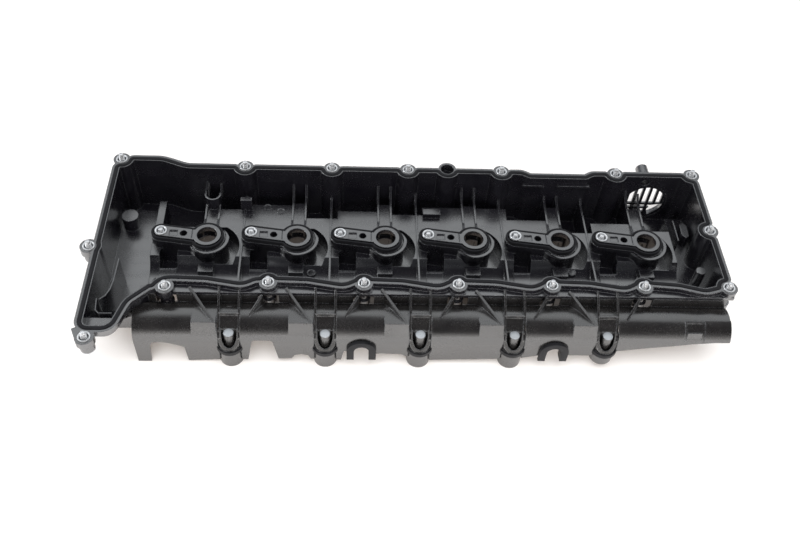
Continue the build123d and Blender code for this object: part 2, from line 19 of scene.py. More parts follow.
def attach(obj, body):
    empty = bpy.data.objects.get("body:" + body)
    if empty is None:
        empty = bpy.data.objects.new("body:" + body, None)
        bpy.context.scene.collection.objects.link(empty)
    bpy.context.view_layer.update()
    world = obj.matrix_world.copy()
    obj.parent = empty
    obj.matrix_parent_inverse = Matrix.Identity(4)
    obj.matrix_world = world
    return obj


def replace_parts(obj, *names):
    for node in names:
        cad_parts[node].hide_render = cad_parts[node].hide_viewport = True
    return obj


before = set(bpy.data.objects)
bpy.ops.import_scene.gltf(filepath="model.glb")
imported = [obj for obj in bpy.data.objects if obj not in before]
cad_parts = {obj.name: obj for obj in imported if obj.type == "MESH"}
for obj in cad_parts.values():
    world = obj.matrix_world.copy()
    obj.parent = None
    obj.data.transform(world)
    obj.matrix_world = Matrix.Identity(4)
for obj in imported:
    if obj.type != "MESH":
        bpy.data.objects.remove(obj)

log = logging.getLogger("cam_cover")

Point = tuple[float, float]
Colour = tuple[float, float, float]

DATUM = Vector((22.95, 25.7, 70.0))   # gasket plane and injector row in the model, millimetres
PITCH = 91.0
CYLINDERS = 6
FIRST_X = -227.5                      # first injector bore
POSTS = 5
FIRST_POST_X = -195.9
BODY = "root"

FULL_TURN = 6.28                      # radians
SMOOTH_ANGLE = 40.0                   # degrees between faces that are shaded as one
ROUND_ANGLE = 35.0                    # degrees between faces whose edge is rounded
LEVEL_ANGLE = 1.0                     # degrees between faces that count as one plane
WELD = 2e-6                           # metres between corners that are one
SEED = 7                              # of the turns of repeated pieces
CHAMFER = 0.5                         # round the tops of slabs, millimetres


class Slot(Enum):
    """Material slots of the record."""

    NYLON = "black_polyamide"
    RUBBER = "seal_rubber"
    STEEL = "zinc_steel"


def place(x: float, y: float, z: float) -> Vector:
    """Turns a point measured from the gasket plane into the model's frame.

    Args:
        x: Millimetres along the injector row.
        y: Millimetres towards the rear flange.
        z: Millimetres above the gasket plane.

    Returns:
        The point in metres.
    """
    return (Vector((x, y, z)) + DATUM) / 1000


# ---- finishes -----------------------------------------------------------------------------


@dataclass(frozen=True)
class Pattern:
    """A noise pattern on the piece's own coordinates."""

    scale: float                      # cells per metre
    detail: float                     # octaves
    rough: float                      # how strong the fine octaves are
    stretch: tuple[float, float, float] = (1, 1, 1)


class Recipe:
    """Adds and wires the nodes of one material."""

    def __init__(self, name: str) -> None:
        """Starts an empty material with a Principled shader.

        Args:
            name: Name of the material.
        """
        self.material = bpy.data.materials.new(name)
        self.material.use_nodes = True
        self.tree = self.material.node_tree
        self.tree.nodes.clear()
        self.shader = self.add("ShaderNodeBsdfPrincipled")
        output = self.add("ShaderNodeOutputMaterial")
        self.link(self.shader.outputs["BSDF"], output.inputs["Surface"])
        self.where = self.add("ShaderNodeTexCoord").outputs["Object"]

    def add(self, kind: str, **settings: object) -> bpy.types.Node:
        """Adds a node.

        Args:
            kind: Blender's type name of the node.
            **settings: Properties to set on it.

        Returns:
            The new node.
        """
        node = self.tree.nodes.new(kind)
        for key, value in settings.items():
            setattr(node, key, value)
        return node

    def link(self, source: bpy.types.NodeSocket, target: bpy.types.NodeSocket) -> None:
        """Wires one socket to another."""
        self.tree.links.new(source, target)

    def noise(self, pattern: Pattern) -> bpy.types.NodeSocket:
        """Adds a noise pattern.

        Args:
            pattern: Its scale, detail and stretch.

        Returns:
            The socket with values around one half.
        """
        mapping = self.add("ShaderNodeMapping")
        mapping.inputs["Scale"].default_value = pattern.stretch
        self.link(self.where, mapping.inputs["Vector"])
        node = self.add("ShaderNodeTexNoise")
        node.inputs["Scale"].default_value = pattern.scale
        node.inputs["Detail"].default_value = pattern.detail
        node.inputs["Roughness"].default_value = pattern.rough
        self.link(mapping.outputs["Vector"], node.inputs["Vector"])
        return node.outputs["Fac"]

    def spread(self, value: bpy.types.NodeSocket, low: float, high: float,
               start: float = 0.3, end: float = 0.7) -> bpy.types.NodeSocket:
        """Maps a pattern to a range.

        Args:
            value: Pattern to map.
            low: Result where the pattern is at start.
            high: Result where the pattern is at end.
            start: Pattern value that gives low.
            end: Pattern value that gives high.

        Returns:
            The mapped socket.
        """
        node = self.add("ShaderNodeMapRange", clamp=True)
        node.inputs["From Min"].default_value = start
        node.inputs["From Max"].default_value = end
        node.inputs["To Min"].default_value = low
        node.inputs["To Max"].default_value = high
        self.link(value, node.inputs["Value"])
        return node.outputs["Result"]

    def blend(self, amount: bpy.types.NodeSocket, below: Colour | bpy.types.NodeSocket,
              above: Colour) -> bpy.types.NodeSocket:
        """Lays a colour over another by a pattern.

        Args:
            amount: Pattern from 0 to 1.
            below: Colour at 0, flat or from a socket.
            above: Colour at 1.

        Returns:
            The colour socket.
        """
        node = self.add("ShaderNodeMix", data_type="RGBA")
        if isinstance(below, bpy.types.NodeSocket):
            self.link(below, node.inputs[6])
        else:
            node.inputs[6].default_value = (*below, 1)
        node.inputs[7].default_value = (*above, 1)
        self.link(amount, node.inputs["Factor"])
        return node.outputs[2]

    def soft_edges(self, radius: float) -> bpy.types.NodeSocket:
        """Rounds the shading at edges by a small radius.

        Args:
            radius: Radius in metres.

        Returns:
            The normal socket.
        """
        node = self.add("ShaderNodeBevel", samples=6)
        node.inputs["Radius"].default_value = radius
        return node.outputs["Normal"]

    def edge_mask(self, normal: bpy.types.NodeSocket, start: float, end: float) -> bpy.types.NodeSocket:
        """Finds edges by comparing a rounded normal with the true one.

        Args:
            normal: Rounded normal.
            start: Difference where the mask begins.
            end: Difference where it is full.

        Returns:
            Mask from 0 to 1.
        """
        dot = self.add("ShaderNodeVectorMath", operation="DOT_PRODUCT")
        self.link(normal, dot.inputs[0])
        self.link(self.add("ShaderNodeNewGeometry").outputs["True Normal"], dot.inputs[1])
        return self.spread(dot.outputs["Value"], 0.0, 1.0, 1 - start, 1 - end)

    def bump(self, height: bpy.types.NodeSocket, depth: float, strength: float,
             normal: bpy.types.NodeSocket | None = None) -> bpy.types.NodeSocket:
        """Turns a pattern into relief.

        Args:
            height: Pattern.
            depth: Height of the relief in metres.
            strength: How much of it shows.
            normal: Normal to start from.

        Returns:
            The normal socket.
        """
        node = self.add("ShaderNodeBump")
        node.inputs["Strength"].default_value = strength
        node.inputs["Distance"].default_value = depth
        self.link(height, node.inputs["Height"])
        if normal is not None:
            self.link(normal, node.inputs["Normal"])
        return node.outputs["Normal"]


@dataclass(frozen=True)
class Nylon:
    """Black glass-filled nylon with a fine spark-eroded grain, flow marks and a painted highlight on its
    edges.
    """

    name: str = "black_nylon"
    dark: Colour = (0.0042, 0.0038, 0.0058)
    light: Colour = (0.0085, 0.0082, 0.0105)
    # painted highlight: the lighter colour laid on rounded edges, standing in for the light that edges catch
    edge_highlight: Colour = (0.17, 0.178, 0.19)
    gloss: Point = (0.19, 0.28)       # roughness, from least to most
    pore_gloss: Point = (-0.03, 0.04)
    edge: float = 0.0009              # radius of the softened edges
    highlight_turn: Point = (0.03, 0.35)   # turn of the normal where the painted edge highlight starts and is full
    grain_depth: float = 0.00003
    flow_depth: float = 0.0009
    flow_strength: float = 0.06
    specular: float = 1.0
    index: float = 1.95
    cloud: Pattern = Pattern(38, 5, 0.6)
    flow: Pattern = Pattern(60, 3, 0.5, (0.35, 1.6, 1.0))
    grain: Pattern = Pattern(2600, 3, 0.7)
    pores: Pattern = Pattern(700, 2, 0.6)

    def build(self) -> bpy.types.Material:
        """Returns the finished material."""
        recipe = Recipe(self.name)
        cloud = recipe.noise(self.cloud)
        flow = recipe.noise(self.flow)
        grain = recipe.noise(self.grain)
        pores = recipe.noise(self.pores)
        rounded = recipe.soft_edges(self.edge)
        # painted highlight on the edges, found from the rounded normal and broken up by the pores
        highlight_mask = recipe.edge_mask(rounded, *self.highlight_turn)
        highlight_amount = recipe.add("ShaderNodeMath", operation="MULTIPLY")
        recipe.link(highlight_mask, highlight_amount.inputs[0])
        recipe.link(recipe.spread(pores, 0.25, 1.0), highlight_amount.inputs[1])
        colour = recipe.blend(recipe.spread(cloud, 0, 1), self.dark, self.light)
        colour = recipe.blend(highlight_amount.outputs[0], colour, self.edge_highlight)
        recipe.link(colour, recipe.shader.inputs["Base Color"])
        both = recipe.add("ShaderNodeMath", operation="ADD")
        recipe.link(recipe.spread(flow, *self.gloss), both.inputs[0])
        recipe.link(recipe.spread(pores, *self.pore_gloss), both.inputs[1])
        recipe.link(both.outputs[0], recipe.shader.inputs["Roughness"])
        recipe.shader.inputs["Specular IOR Level"].default_value = self.specular
        recipe.shader.inputs["IOR"].default_value = self.index
        relief = recipe.bump(grain, self.grain_depth, 0.5, rounded)
        relief = recipe.bump(flow, self.flow_depth, self.flow_strength, relief)
        recipe.link(relief, recipe.shader.inputs["Normal"])
        return recipe.material


@dataclass(frozen=True)
class Rubber:
    """Moulded seal rubber: matt, with a bloom and a slight skin texture."""

    name: str = "seal_rubber"
    dark: Colour = (0.0035, 0.0034, 0.0042)
    bloom: Colour = (0.009, 0.009, 0.011)
    gloss: Point = (0.5, 0.66)
    specular: float = 0.3
    sheen: float = 0.04
    edge: float = 0.0003
    skin_depth: float = 0.00005
    cloud: Pattern = Pattern(120, 4, 0.6)
    skin: Pattern = Pattern(1800, 2, 0.5)

    def build(self) -> bpy.types.Material:
        """Returns the finished material."""
        recipe = Recipe(self.name)
        cloud = recipe.noise(self.cloud)
        skin = recipe.noise(self.skin)
        recipe.link(recipe.blend(recipe.spread(cloud, 0, 1), self.dark, self.bloom),
                    recipe.shader.inputs["Base Color"])
        recipe.link(recipe.spread(cloud, *self.gloss), recipe.shader.inputs["Roughness"])
        recipe.shader.inputs["Specular IOR Level"].default_value = self.specular
        recipe.shader.inputs["Sheen Weight"].default_value = self.sheen
        rounded = recipe.soft_edges(self.edge)
        recipe.link(recipe.bump(skin, self.skin_depth, 0.5, rounded), recipe.shader.inputs["Normal"])
        return recipe.material


@dataclass(frozen=True)
class Steel:
    """Zinc-plated steel with a little cloudiness in the plating."""

    name: str = "zinc_steel"
    dark: Colour = (0.52, 0.53, 0.55)
    light: Colour = (0.86, 0.87, 0.88)
    gloss: Point = (0.16, 0.34)
    metallic: float = 0.72
    edge: float = 0.0002
    turned_depth: float = 0.00003
    cloud: Pattern = Pattern(420, 4, 0.65)
    turned: Pattern = Pattern(3200, 2, 0.5, (1, 1, 0.15))

    def build(self) -> bpy.types.Material:
        """Returns the finished material."""
        recipe = Recipe(self.name)
        cloud = recipe.noise(self.cloud)
        turned = recipe.noise(self.turned)
        recipe.link(recipe.blend(recipe.spread(cloud, 0, 1), self.dark, self.light),
                    recipe.shader.inputs["Base Color"])
        recipe.link(recipe.spread(turned, *self.gloss), recipe.shader.inputs["Roughness"])
        recipe.shader.inputs["Metallic"].default_value = self.metallic
        recipe.link(recipe.bump(turned, self.turned_depth, 0.4, recipe.soft_edges(self.edge)),
                    recipe.shader.inputs["Normal"])
        return recipe.material


@dataclass
class Finishes:
    """The materials of the cover, each built once."""

    nylon: bpy.types.Material = field(default_factory=lambda: Nylon().build())
    apron: bpy.types.Material = field(default_factory=lambda: Nylon(
        name="apron_nylon", dark=(0.008, 0.0074, 0.0074), light=(0.015, 0.014, 0.0138),
        gloss=(0.2, 0.3), index=1.72).build())
    # the pin end's edge colour is a painted highlight on its edges too
    pin: bpy.types.Material = field(default_factory=lambda: Nylon(
        name="pin_end", dark=(0.20, 0.215, 0.23), light=(0.30, 0.32, 0.34),
        edge_highlight=(0.4, 0.42, 0.44), gloss=(0.28, 0.36), index=1.6).build())
    rubber: bpy.types.Material = field(default_factory=lambda: Rubber().build())
    steel: bpy.types.Material = field(default_factory=lambda: Steel().build())


def coat(obj: bpy.types.Object, material: bpy.types.Material) -> None:
    """Gives an object one material.

    Args:
        obj: Object to finish.
        material: Its material.
    """
    obj.data.materials.clear()
    obj.data.materials.append(material)


# ---- mesh helpers -------------------------------------------------------------------------


def piece(name: str, shape: bmesh.types.BMesh, material: bpy.types.Material) -> bpy.types.Object:
    """Turns a finished mesh into a piece that rides on the cover.

    Args:
        name: Name of the piece.
        shape: Mesh in metres, in the model's frame; freed here.
        material: Its finish.

    Returns:
        The new object.
    """
    bmesh.ops.remove_doubles(shape, verts=shape.verts, dist=1e-7)
    bmesh.ops.dissolve_degenerate(shape, edges=shape.edges, dist=1e-8)
    bmesh.ops.recalc_face_normals(shape, faces=shape.faces)
    mesh = bpy.data.meshes.new(name)
    shape.to_mesh(mesh)
    shape.free()
    mesh.shade_smooth()
    mesh.set_sharp_from_angle(angle=math.radians(SMOOTH_ANGLE))
    obj = bpy.data.objects.new(name, mesh)
    bpy.context.scene.collection.objects.link(obj)
    coat(obj, material)
    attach(obj, BODY)
    log.info("%s: %d faces", name, len(mesh.polygons))
    return obj


def lathe(shape: bmesh.types.BMesh, profile: list[Point], segments: int = 40) -> None:
    """Turns a closed profile round the vertical through the origin.

    Args:
        shape: Mesh to add to.
        profile: Radius and height in millimetres, as a closed loop that keeps off the axis,
            or an open line that starts and ends on it.
        segments: Steps round.
    """
    rings = []
    for radius, height in profile:
        if radius < 1e-6:
            rings.append([shape.verts.new(Vector((0, 0, height)) / 1000)])
            continue
        ring = []
        for k in range(segments):
            a = 2 * math.pi * k / segments
            ring.append(shape.verts.new(Vector((radius * math.cos(a), radius * math.sin(a), height)) / 1000))
        rings.append(ring)
    closed = len(rings[0]) > 1
    pairs = list(zip(rings, rings[1:])) + ([(rings[-1], rings[0])] if closed else [])
    for low, high in pairs:
        for k in range(segments):
            corners = [low[k % len(low)], low[(k + 1) % len(low)],
                       high[(k + 1) % len(high)], high[k % len(high)]]
            corners = list(dict.fromkeys(corners))
            if len(corners) > 2:
                shape.faces.new(corners)


def join_rows(shape: bmesh.types.BMesh, rows: list[list[bmesh.types.BMVert]]) -> None:
    """Skins a run of closed sections and caps both ends.

    Args:
        shape: Mesh to add to.
        rows: Corners of each section, as many in each.
    """
    for left, right in zip(rows, rows[1:]):
        for k in range(len(left)):
            n = (k + 1) % len(left)
            shape.faces.new((left[k], right[k], right[n], left[n]))
    shape.faces.new(rows[0])
    shape.faces.new(list(reversed(rows[-1])))


def arc_bar(shape: bmesh.types.BMesh, section: Callable[[float], list[Point]], start: float,
            end: float, steps: int) -> None:
    """Sweeps a closed section round an arc about the origin.

    Args:
        shape: Mesh to add to.
        section: Gives the corners as radius and height in millimetres, for a share from 0 at
            the start to 1 at the end.
        start: First angle in degrees.
        end: Last angle in degrees.
        steps: Number of stretches.
    """
    rows = []
    for k in range(steps + 1):
        a = math.radians(start + (end - start) * k / steps)
        rows.append([shape.verts.new(Vector((r * math.cos(a), r * math.sin(a), z)) / 1000)
                     for r, z in section(k / steps)])
    join_rows(shape, rows)


def rounded_copy(node: str, width: float, steps: int) -> bmesh.types.BMesh:
    """Copies a node's mesh and rounds its edges.

    Args:
        node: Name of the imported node.
        width: Width of the rounding in metres.
        steps: Faces across the rounding.

    Returns:
        The rounded mesh.
    """
    source = bmesh.new()
    source.from_mesh(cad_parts[node].data)
    bmesh.ops.remove_doubles(source, verts=source.verts, dist=WELD)
    bmesh.ops.dissolve_limit(source, angle_limit=math.radians(LEVEL_ANGLE), verts=source.verts,
                             edges=source.edges)
    bmesh.ops.recalc_face_normals(source, faces=source.faces)
    mesh = bpy.data.meshes.new(node + "_raw")
    source.to_mesh(mesh)
    source.free()
    obj = bpy.data.objects.new(node + "_raw", mesh)
    bpy.context.scene.collection.objects.link(obj)
    bevel = obj.modifiers.new("round", "BEVEL")
    bevel.width = width
    bevel.segments = steps
    bevel.limit_method = "ANGLE"
    bevel.angle_limit = math.radians(ROUND_ANGLE)
    graph = bpy.context.evaluated_depsgraph_get()
    done = bmesh.new()
    done.from_mesh(obj.evaluated_get(graph).to_mesh())
    bpy.data.objects.remove(obj)
    return done


# ---- scatter: one shape at many places ----------------------------------------------------


class Scatter:
    """Geometry Nodes tree that sets one shape at every vertex of a point mesh."""

    def __init__(self, name: str) -> None:
        """Builds the tree.

        Args:
            name: Name of the tree.
        """
        self.tree = bpy.data.node_groups.new(name, "GeometryNodeTree")
        face = self.tree.interface
        face.new_socket("Geometry", in_out="INPUT", socket_type="NodeSocketGeometry")
        face.new_socket("Shape", in_out="INPUT", socket_type="NodeSocketObject")
        face.new_socket("Turn", in_out="INPUT", socket_type="NodeSocketFloat")
        face.new_socket("Finish", in_out="INPUT", socket_type="NodeSocketMaterial")
        face.new_socket("Geometry", in_out="OUTPUT", socket_type="NodeSocketGeometry")
        nodes, link = self.tree.nodes, self.tree.links.new
        entry, leave = nodes.new("NodeGroupInput"), nodes.new("NodeGroupOutput")
        source = nodes.new("GeometryNodeObjectInfo")
        points = nodes.new("GeometryNodeMeshToPoints")
        setter = nodes.new("GeometryNodeInstanceOnPoints")
        spin = nodes.new("GeometryNodeRotateInstances")
        chance = nodes.new("FunctionNodeRandomValue")
        chance.data_type = "FLOAT"
        chance.inputs["Seed"].default_value = SEED
        turned = nodes.new("ShaderNodeCombineXYZ")
        real = nodes.new("GeometryNodeRealizeInstances")
        finish = nodes.new("GeometryNodeSetMaterial")
        link(entry.outputs["Geometry"], points.inputs["Mesh"])
        link(entry.outputs["Shape"], source.inputs["Object"])
        link(points.outputs["Points"], setter.inputs["Points"])
        link(source.outputs["Geometry"], setter.inputs["Instance"])
        link(entry.outputs["Turn"], chance.inputs[3])
        link(chance.outputs[1], turned.inputs["Z"])
        link(setter.outputs["Instances"], spin.inputs["Instances"])
        link(turned.outputs["Vector"], spin.inputs["Rotation"])
        link(spin.outputs["Instances"], real.inputs["Geometry"])
        link(real.outputs["Geometry"], finish.inputs["Geometry"])
        link(entry.outputs["Finish"], finish.inputs["Material"])
        link(finish.outputs["Geometry"], leave.inputs["Geometry"])

    def run(self, shape: bmesh.types.BMesh, spots: list[Vector], turn: float,
            material: bpy.types.Material) -> bmesh.types.BMesh:
        """Sets the shape at the spots.

        Args:
            shape: The shape round its own origin; freed here.
            spots: Places in metres.
            turn: Largest turn about the vertical, in radians.
            material: Finish of the result.

        Returns:
            One mesh with every copy.
        """
        bmesh.ops.recalc_face_normals(shape, faces=shape.faces)
        made = bpy.data.meshes.new("shape")
        shape.to_mesh(made)
        shape.free()
        master = bpy.data.objects.new("shape", made)
        bpy.context.scene.collection.objects.link(master)
        cloud = bpy.data.meshes.new("spots")
        cloud.from_pydata([tuple(spot) for spot in spots], [], [])
        holder = bpy.data.objects.new("spots", cloud)
        bpy.context.scene.collection.objects.link(holder)
        scatter = holder.modifiers.new("scatter", "NODES")
        scatter.node_group = self.tree
        names = {item.name: item.identifier for item in self.tree.interface.items_tree
                 if item.in_out == "INPUT"}
        scatter[names["Shape"]] = master
        scatter[names["Turn"]] = turn
        scatter[names["Finish"]] = material
        graph = bpy.context.evaluated_depsgraph_get()
        plain = bpy.data.meshes.new_from_object(holder.evaluated_get(graph))
        result = bmesh.new()
        result.from_mesh(plain)
        holder.modifiers.clear()
        for obj in (holder, master):
            bpy.data.objects.remove(obj)
        return result


# ---- fasteners ----------------------------------------------------------------------------


class Ear(Enum):
    """How far the pillar under a flange screw reaches."""

    LONG = 34.0
    SHORT = 17.0


@dataclass(frozen=True)
class ScrewForm:
    """Sizes of an M6 screw with a hexagon head and a dog point, in millimetres."""

    head: float = 6.1
    hexagon: float = 3.95
    head_bevel: Point = (0.55, 0.4)   # inwards and up
    washer: float = 6.6
    washer_thick: float = 2.0
    shank: float = 2.94
    crest: float = 2.98
    flank: float = 2.55
    root: float = 2.5
    pitch: float = 1.0
    thread_foot: float = -13.5
    dog: float = 2.4
    dog_length: float = 3.0
    dog_bevel: Point = (0.65, 0.7)    # inwards and down
    lap: float = 0.1                  # by which the turned parts run into each other

    def build(self, length: float) -> bmesh.types.BMesh:
        """Shapes a screw whose tip is at height 0.

        Args:
            length: Millimetres from the tip down to the bearing face of the head.

        Returns:
            The screw round its own axis.
        """
        shape = bmesh.new()
        base, bevel = -length, self.head_bevel
        seat = base - self.washer_thick + self.lap
        lathe(shape, [(0, base - self.head), (self.hexagon - bevel[0], base - self.head),
                      (self.hexagon - 0.05, base - self.head + bevel[1]), (self.hexagon, seat),
                      (0, seat)], 6)
        wide = self.washer
        lathe(shape, [(0, base - self.washer_thick), (wide - 2.4, base - self.washer_thick),
                      (wide - 0.4, base - 1.5), (wide, base - 1.1), (wide, base - 0.3),
                      (wide - 0.2, base), (0, base)], 32)
        top = self.thread_foot + self.lap
        lathe(shape, [(0, base - self.lap), (self.shank, base - self.lap), (self.shank, top), (0, top)], 20)
        self.threads(shape, self.thread_foot, -self.dog_length, 20)
        foot = -self.dog_length - 0.4
        r, (inward, down) = self.dog, self.dog_bevel
        lathe(shape, [(0, foot), (r, foot), (r, -down), (r - 0.15, -down / 2), (r - inward, 0), (0, 0)], 24)
        return shape

    def threads(self, shape: bmesh.types.BMesh, low: float, high: float, segments: int) -> None:
        """Adds a helical thread between two heights.

        Args:
            shape: Mesh to add to.
            low: Lower end in millimetres.
            high: Upper end in millimetres.
            segments: Steps round.
        """
        form = [(0.0, self.crest), (0.28, self.flank), (0.45, self.root), (0.72, self.crest)]
        rows = []
        turns = int((high - low) / self.pitch) + 2
        for n in range(-1, turns):
            for share, radius in form:
                row = []
                for k in range(segments):
                    a = 2 * math.pi * k / segments
                    z = low + (n + share + k / segments) * self.pitch
                    kept = min(max(z, low), high)
                    r = radius if kept == z else self.root
                    row.append(shape.verts.new(Vector((r * math.cos(a), r * math.sin(a), kept)) / 1000))
                rows.append(row)
        for i in range(len(rows) - 1):
            for k in range(segments - 1):
                shape.faces.new((rows[i][k], rows[i][k + 1], rows[i + 1][k + 1], rows[i + 1][k]))
            if i + len(form) < len(rows) - 1:
                shape.faces.new((rows[i][-1], rows[i + len(form)][0], rows[i + len(form) + 1][0],
                                 rows[i + 1][-1]))
        bmesh.ops.remove_doubles(shape, verts=shape.verts, dist=1e-6)
        bmesh.ops.dissolve_degenerate(shape, edges=shape.edges, dist=1e-7)
        rims = [edge for edge in shape.edges if edge.is_boundary]
        bmesh.ops.holes_fill(shape, edges=rims, sides=0)


@dataclass
class Fasteners:
    """Flange screws, clamp screws and their sleeves, threaded and chamfered."""

    finishes: Finishes
    form: ScrewForm = ScrewForm()
    tip: float = 7.0
    proud: float = 0.6
    face: float = -19.2
    clamp: Point = (-46.8, 4.7)
    clamp_proud: float = 1.6
    clamp_reach: float = 44.0
    sleeve_top: float = 0.9
    sleeve_bore: float = 4.25
    flange_sleeve: Point = (12.0, 6.4)   # outer diameter and length
    clamp_sleeve: Point = (12.5, 5.9)
    rear: tuple[Point, ...] = ((-323.4, 87.2), (-193.6, 79.4), (-102.3, 79.4), (-21.1, 79.4),
                               (79.5, 79.4), (204.2, 79.4), (288.2, 79.4), (288.8, -1.2),
                               (-256.1, -81.8), (289.2, -75.8))
    front: Point = (-159.6, -75.6)
    front_pitch: float = 91.15
    front_count: int = 5
    short: tuple[Point, ...] = ((-335.1, -33.9), (-319.0, -140.7))

    def long_spots(self) -> list[Point]:
        """Returns the places of the screws with a full pillar."""
        x, y = self.front
        return list(self.rear) + [(x + self.front_pitch * k, y) for k in range(self.front_count)]

    def clamp_spots(self) -> list[Point]:
        """Returns the places of the injector clamp screws."""
        return [(FIRST_X + PITCH * k + self.clamp[0], self.clamp[1]) for k in range(CYLINDERS)]

    def sleeve(self, outer: float, length: float) -> bmesh.types.BMesh:
        """Shapes a sleeve whose top is at height 0.

        Args:
            outer: Outer diameter in millimetres.
            length: Length in millimetres.

        Returns:
            The sleeve round its own axis.
        """
        shape = bmesh.new()
        r, bore = outer / 2 - 0.01, self.sleeve_bore
        lathe(shape, [(bore, -length), (r, -length), (r, -0.35), (r - 0.35, 0), (bore + 0.6, 0),
                      (bore + 0.25, -0.15), (bore, -0.6)], 48)
        return shape

    def build(self) -> None:
        """Builds the four sets and puts them in place of the plain solids."""
        steel, scatter = self.finishes.steel, Scatter("set_at_points")
        whole = bmesh.new()
        for spots, ear in ((self.long_spots(), Ear.LONG), (self.short, Ear.SHORT)):
            screw = self.form.build(self.tip + ear.value + self.proud)
            self.join(whole, scatter.run(screw, [place(x, y, self.tip) for x, y in spots], FULL_TURN, steel))
        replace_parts(piece("threaded_flange_screws", whole, steel), "flange_screws")
        top = self.face + self.sleeve_top + self.clamp_proud
        screw = self.form.build(top + self.clamp_reach)
        clamps = scatter.run(screw, [place(x, y, top) for x, y in self.clamp_spots()], FULL_TURN, steel)
        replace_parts(piece("threaded_clamp_screws", clamps, steel), "injector_screws")
        spots = [place(x, y, self.sleeve_top) for x, y in self.long_spots() + list(self.short)]
        rings = scatter.run(self.sleeve(*self.flange_sleeve), spots, 0.0, steel)
        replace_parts(piece("chamfered_flange_sleeves", rings, steel), "flange_sleeves")
        spots = [place(x, y, self.face + self.sleeve_top) for x, y in self.clamp_spots()]
        rings = scatter.run(self.sleeve(*self.clamp_sleeve), spots, 0.0, steel)
        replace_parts(piece("chamfered_clamp_sleeves", rings, steel), "injector_sleeves")

    @staticmethod
    def join(whole: bmesh.types.BMesh, part: bmesh.types.BMesh) -> None:
        """Adds one mesh to another and frees the added one."""
        carrier = bpy.data.meshes.new("carrier")
        part.to_mesh(carrier)
        part.free()
        whole.from_mesh(carrier)
        bpy.data.meshes.remove(carrier)


# ---- seals --------------------------------------------------------------------------------


@dataclass
class Seals:
    """The perimeter gasket, the injector seals and the edge grommets, with rounded beads."""

    finishes: Finishes
    bead: float = 0.0009
    lip: float = 0.0005
    grommet_lip: float = 0.0008
    steps: int = 3

    def build(self) -> None:
        """Builds each seal from its node, with rounded edges."""
        self.seal("perimeter_gasket", "gasket_bead", self.bead)
        for k in range(1, CYLINDERS + 1):
            self.seal(f"injector_seal_{k}", f"injector_bead_{k}", self.lip)
        for side in ("left", "right"):
            self.seal(f"edge_grommet_{side}", f"soft_grommet_{side}", self.grommet_lip)

    def seal(self, node: str, name: str, width: float) -> None:
        """Puts a rounded copy in place of a node.

        Args:
            node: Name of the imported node.
            name: Name of the piece.
            width: Width of the rounding in metres.
        """
        shape = rounded_copy(node, width, self.steps)
        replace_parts(piece(name, shape, self.finishes.rubber), node)


# ---- moulded details ----------------------------------------------------------------------


class Carrier:
    """Finds the surface of the cover shell that a detail stands on."""

    def __init__(self) -> None:
        """Reads the shell's mesh."""
        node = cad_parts["cover_shell"]
        spots = [node.matrix_world @ vert.co for vert in node.data.vertices]
        self.tree = BVHTree.FromPolygons(spots, [tuple(face.vertices) for face in node.data.polygons])

    def reach(self, start: tuple[float, float, float], way: tuple[float, float, float]) -> Vector:
        """Finds the first surface from a point along a direction.

        Args:
            start: Point in millimetres from the gasket plane.
            way: Direction.

        Returns:
            The point on the surface, in millimetres from the gasket plane.
        """
        hit = self.tree.ray_cast(place(*start), Vector(way))[0]
        if hit is None:
            raise ValueError(f"no surface from {start} along {way}")
        return hit * 1000 - DATUM


def oval(x: float, y: float, across: float, deep: float, end: int) -> list[Point]:
    """Returns corners on an ellipse, every twelve degrees.

    Args:
        x: Middle in millimetres.
        y: Middle in millimetres.
        across: Half its width.
        deep: Half its depth.
        end: Last angle in degrees, counted from +X, not included.
    """
    return [(x + across * math.cos(math.radians(a)), y + deep * math.sin(math.radians(a)))
            for a in range(0, end, 12)]


def slab(shape: bmesh.types.BMesh, outline: list[Point], low: float, high: float,
         taper: float = 0.0) -> None:
    """Adds an upright slab over an outline, with a small chamfer round its top.

    Args:
        shape: Mesh to add to.
        outline: Corners in millimetres, counter-clockwise.
        low: Foot in millimetres, negative below the gasket plane.
        high: Top in millimetres.
        taper: Millimetres by which the top is smaller all round.
    """
    middle = Vector((sum(p[0] for p in outline), sum(p[1] for p in outline))) / len(outline)
    rows = []
    for height, inset in ((low, 0.0), (high - CHAMFER, taper), (high, taper + 0.9 * CHAMFER)):
        row = []
        for x, y in outline:
            away = Vector((x, y)) - middle
            spot = middle + away * max(0.2, 1 - inset / max(away.length, 0.1))
            row.append(shape.verts.new(place(spot.x, spot.y, height)))
        rows.append(row)
    count = len(outline)
    for below, above in zip(rows, rows[1:]):
        for k in range(count):
            shape.faces.new((below[k], below[(k + 1) % count], above[(k + 1) % count], above[k]))
    shape.faces.new(rows[-1])
    shape.faces.new(list(reversed(rows[0])))


def post_spots(y: float, z: float) -> list[Vector]:
    """Returns one place at each screw post.

    Args:
        y: Millimetres towards the rear flange.
        z: Millimetres above the gasket plane.
    """
    return [place(FIRST_POST_X + PITCH * k, y, z) for k in range(POSTS)]


@dataclass
class PinCaps:
    """The light domed ends of the five post pins."""

    finishes: Finishes
    y: float = -115.5
    seat: float = -27.7
    radius: float = 4.85
    skirt: float = 0.15
    foot: Point = (4.65, -0.25)       # radius and height
    dome: float = 1.3
    steps: int = 7

    def build(self) -> None:
        """Builds the caps on their pins."""
        cap = bmesh.new()
        profile = [(0.0, self.foot[1]), self.foot, (self.radius, self.skirt)]
        for k in range(1, self.steps):
            a = math.pi / 2 * k / self.steps
            profile.append((self.radius * math.cos(a), self.skirt + self.dome * math.sin(a)))
        profile.append((0.0, self.skirt + self.dome))
        lathe(cap, profile)
        whole = Scatter("pin_caps").run(cap, post_spots(self.y, self.seat), 0.0, self.finishes.pin)
        piece("post_pin_caps", whole, self.finishes.pin)


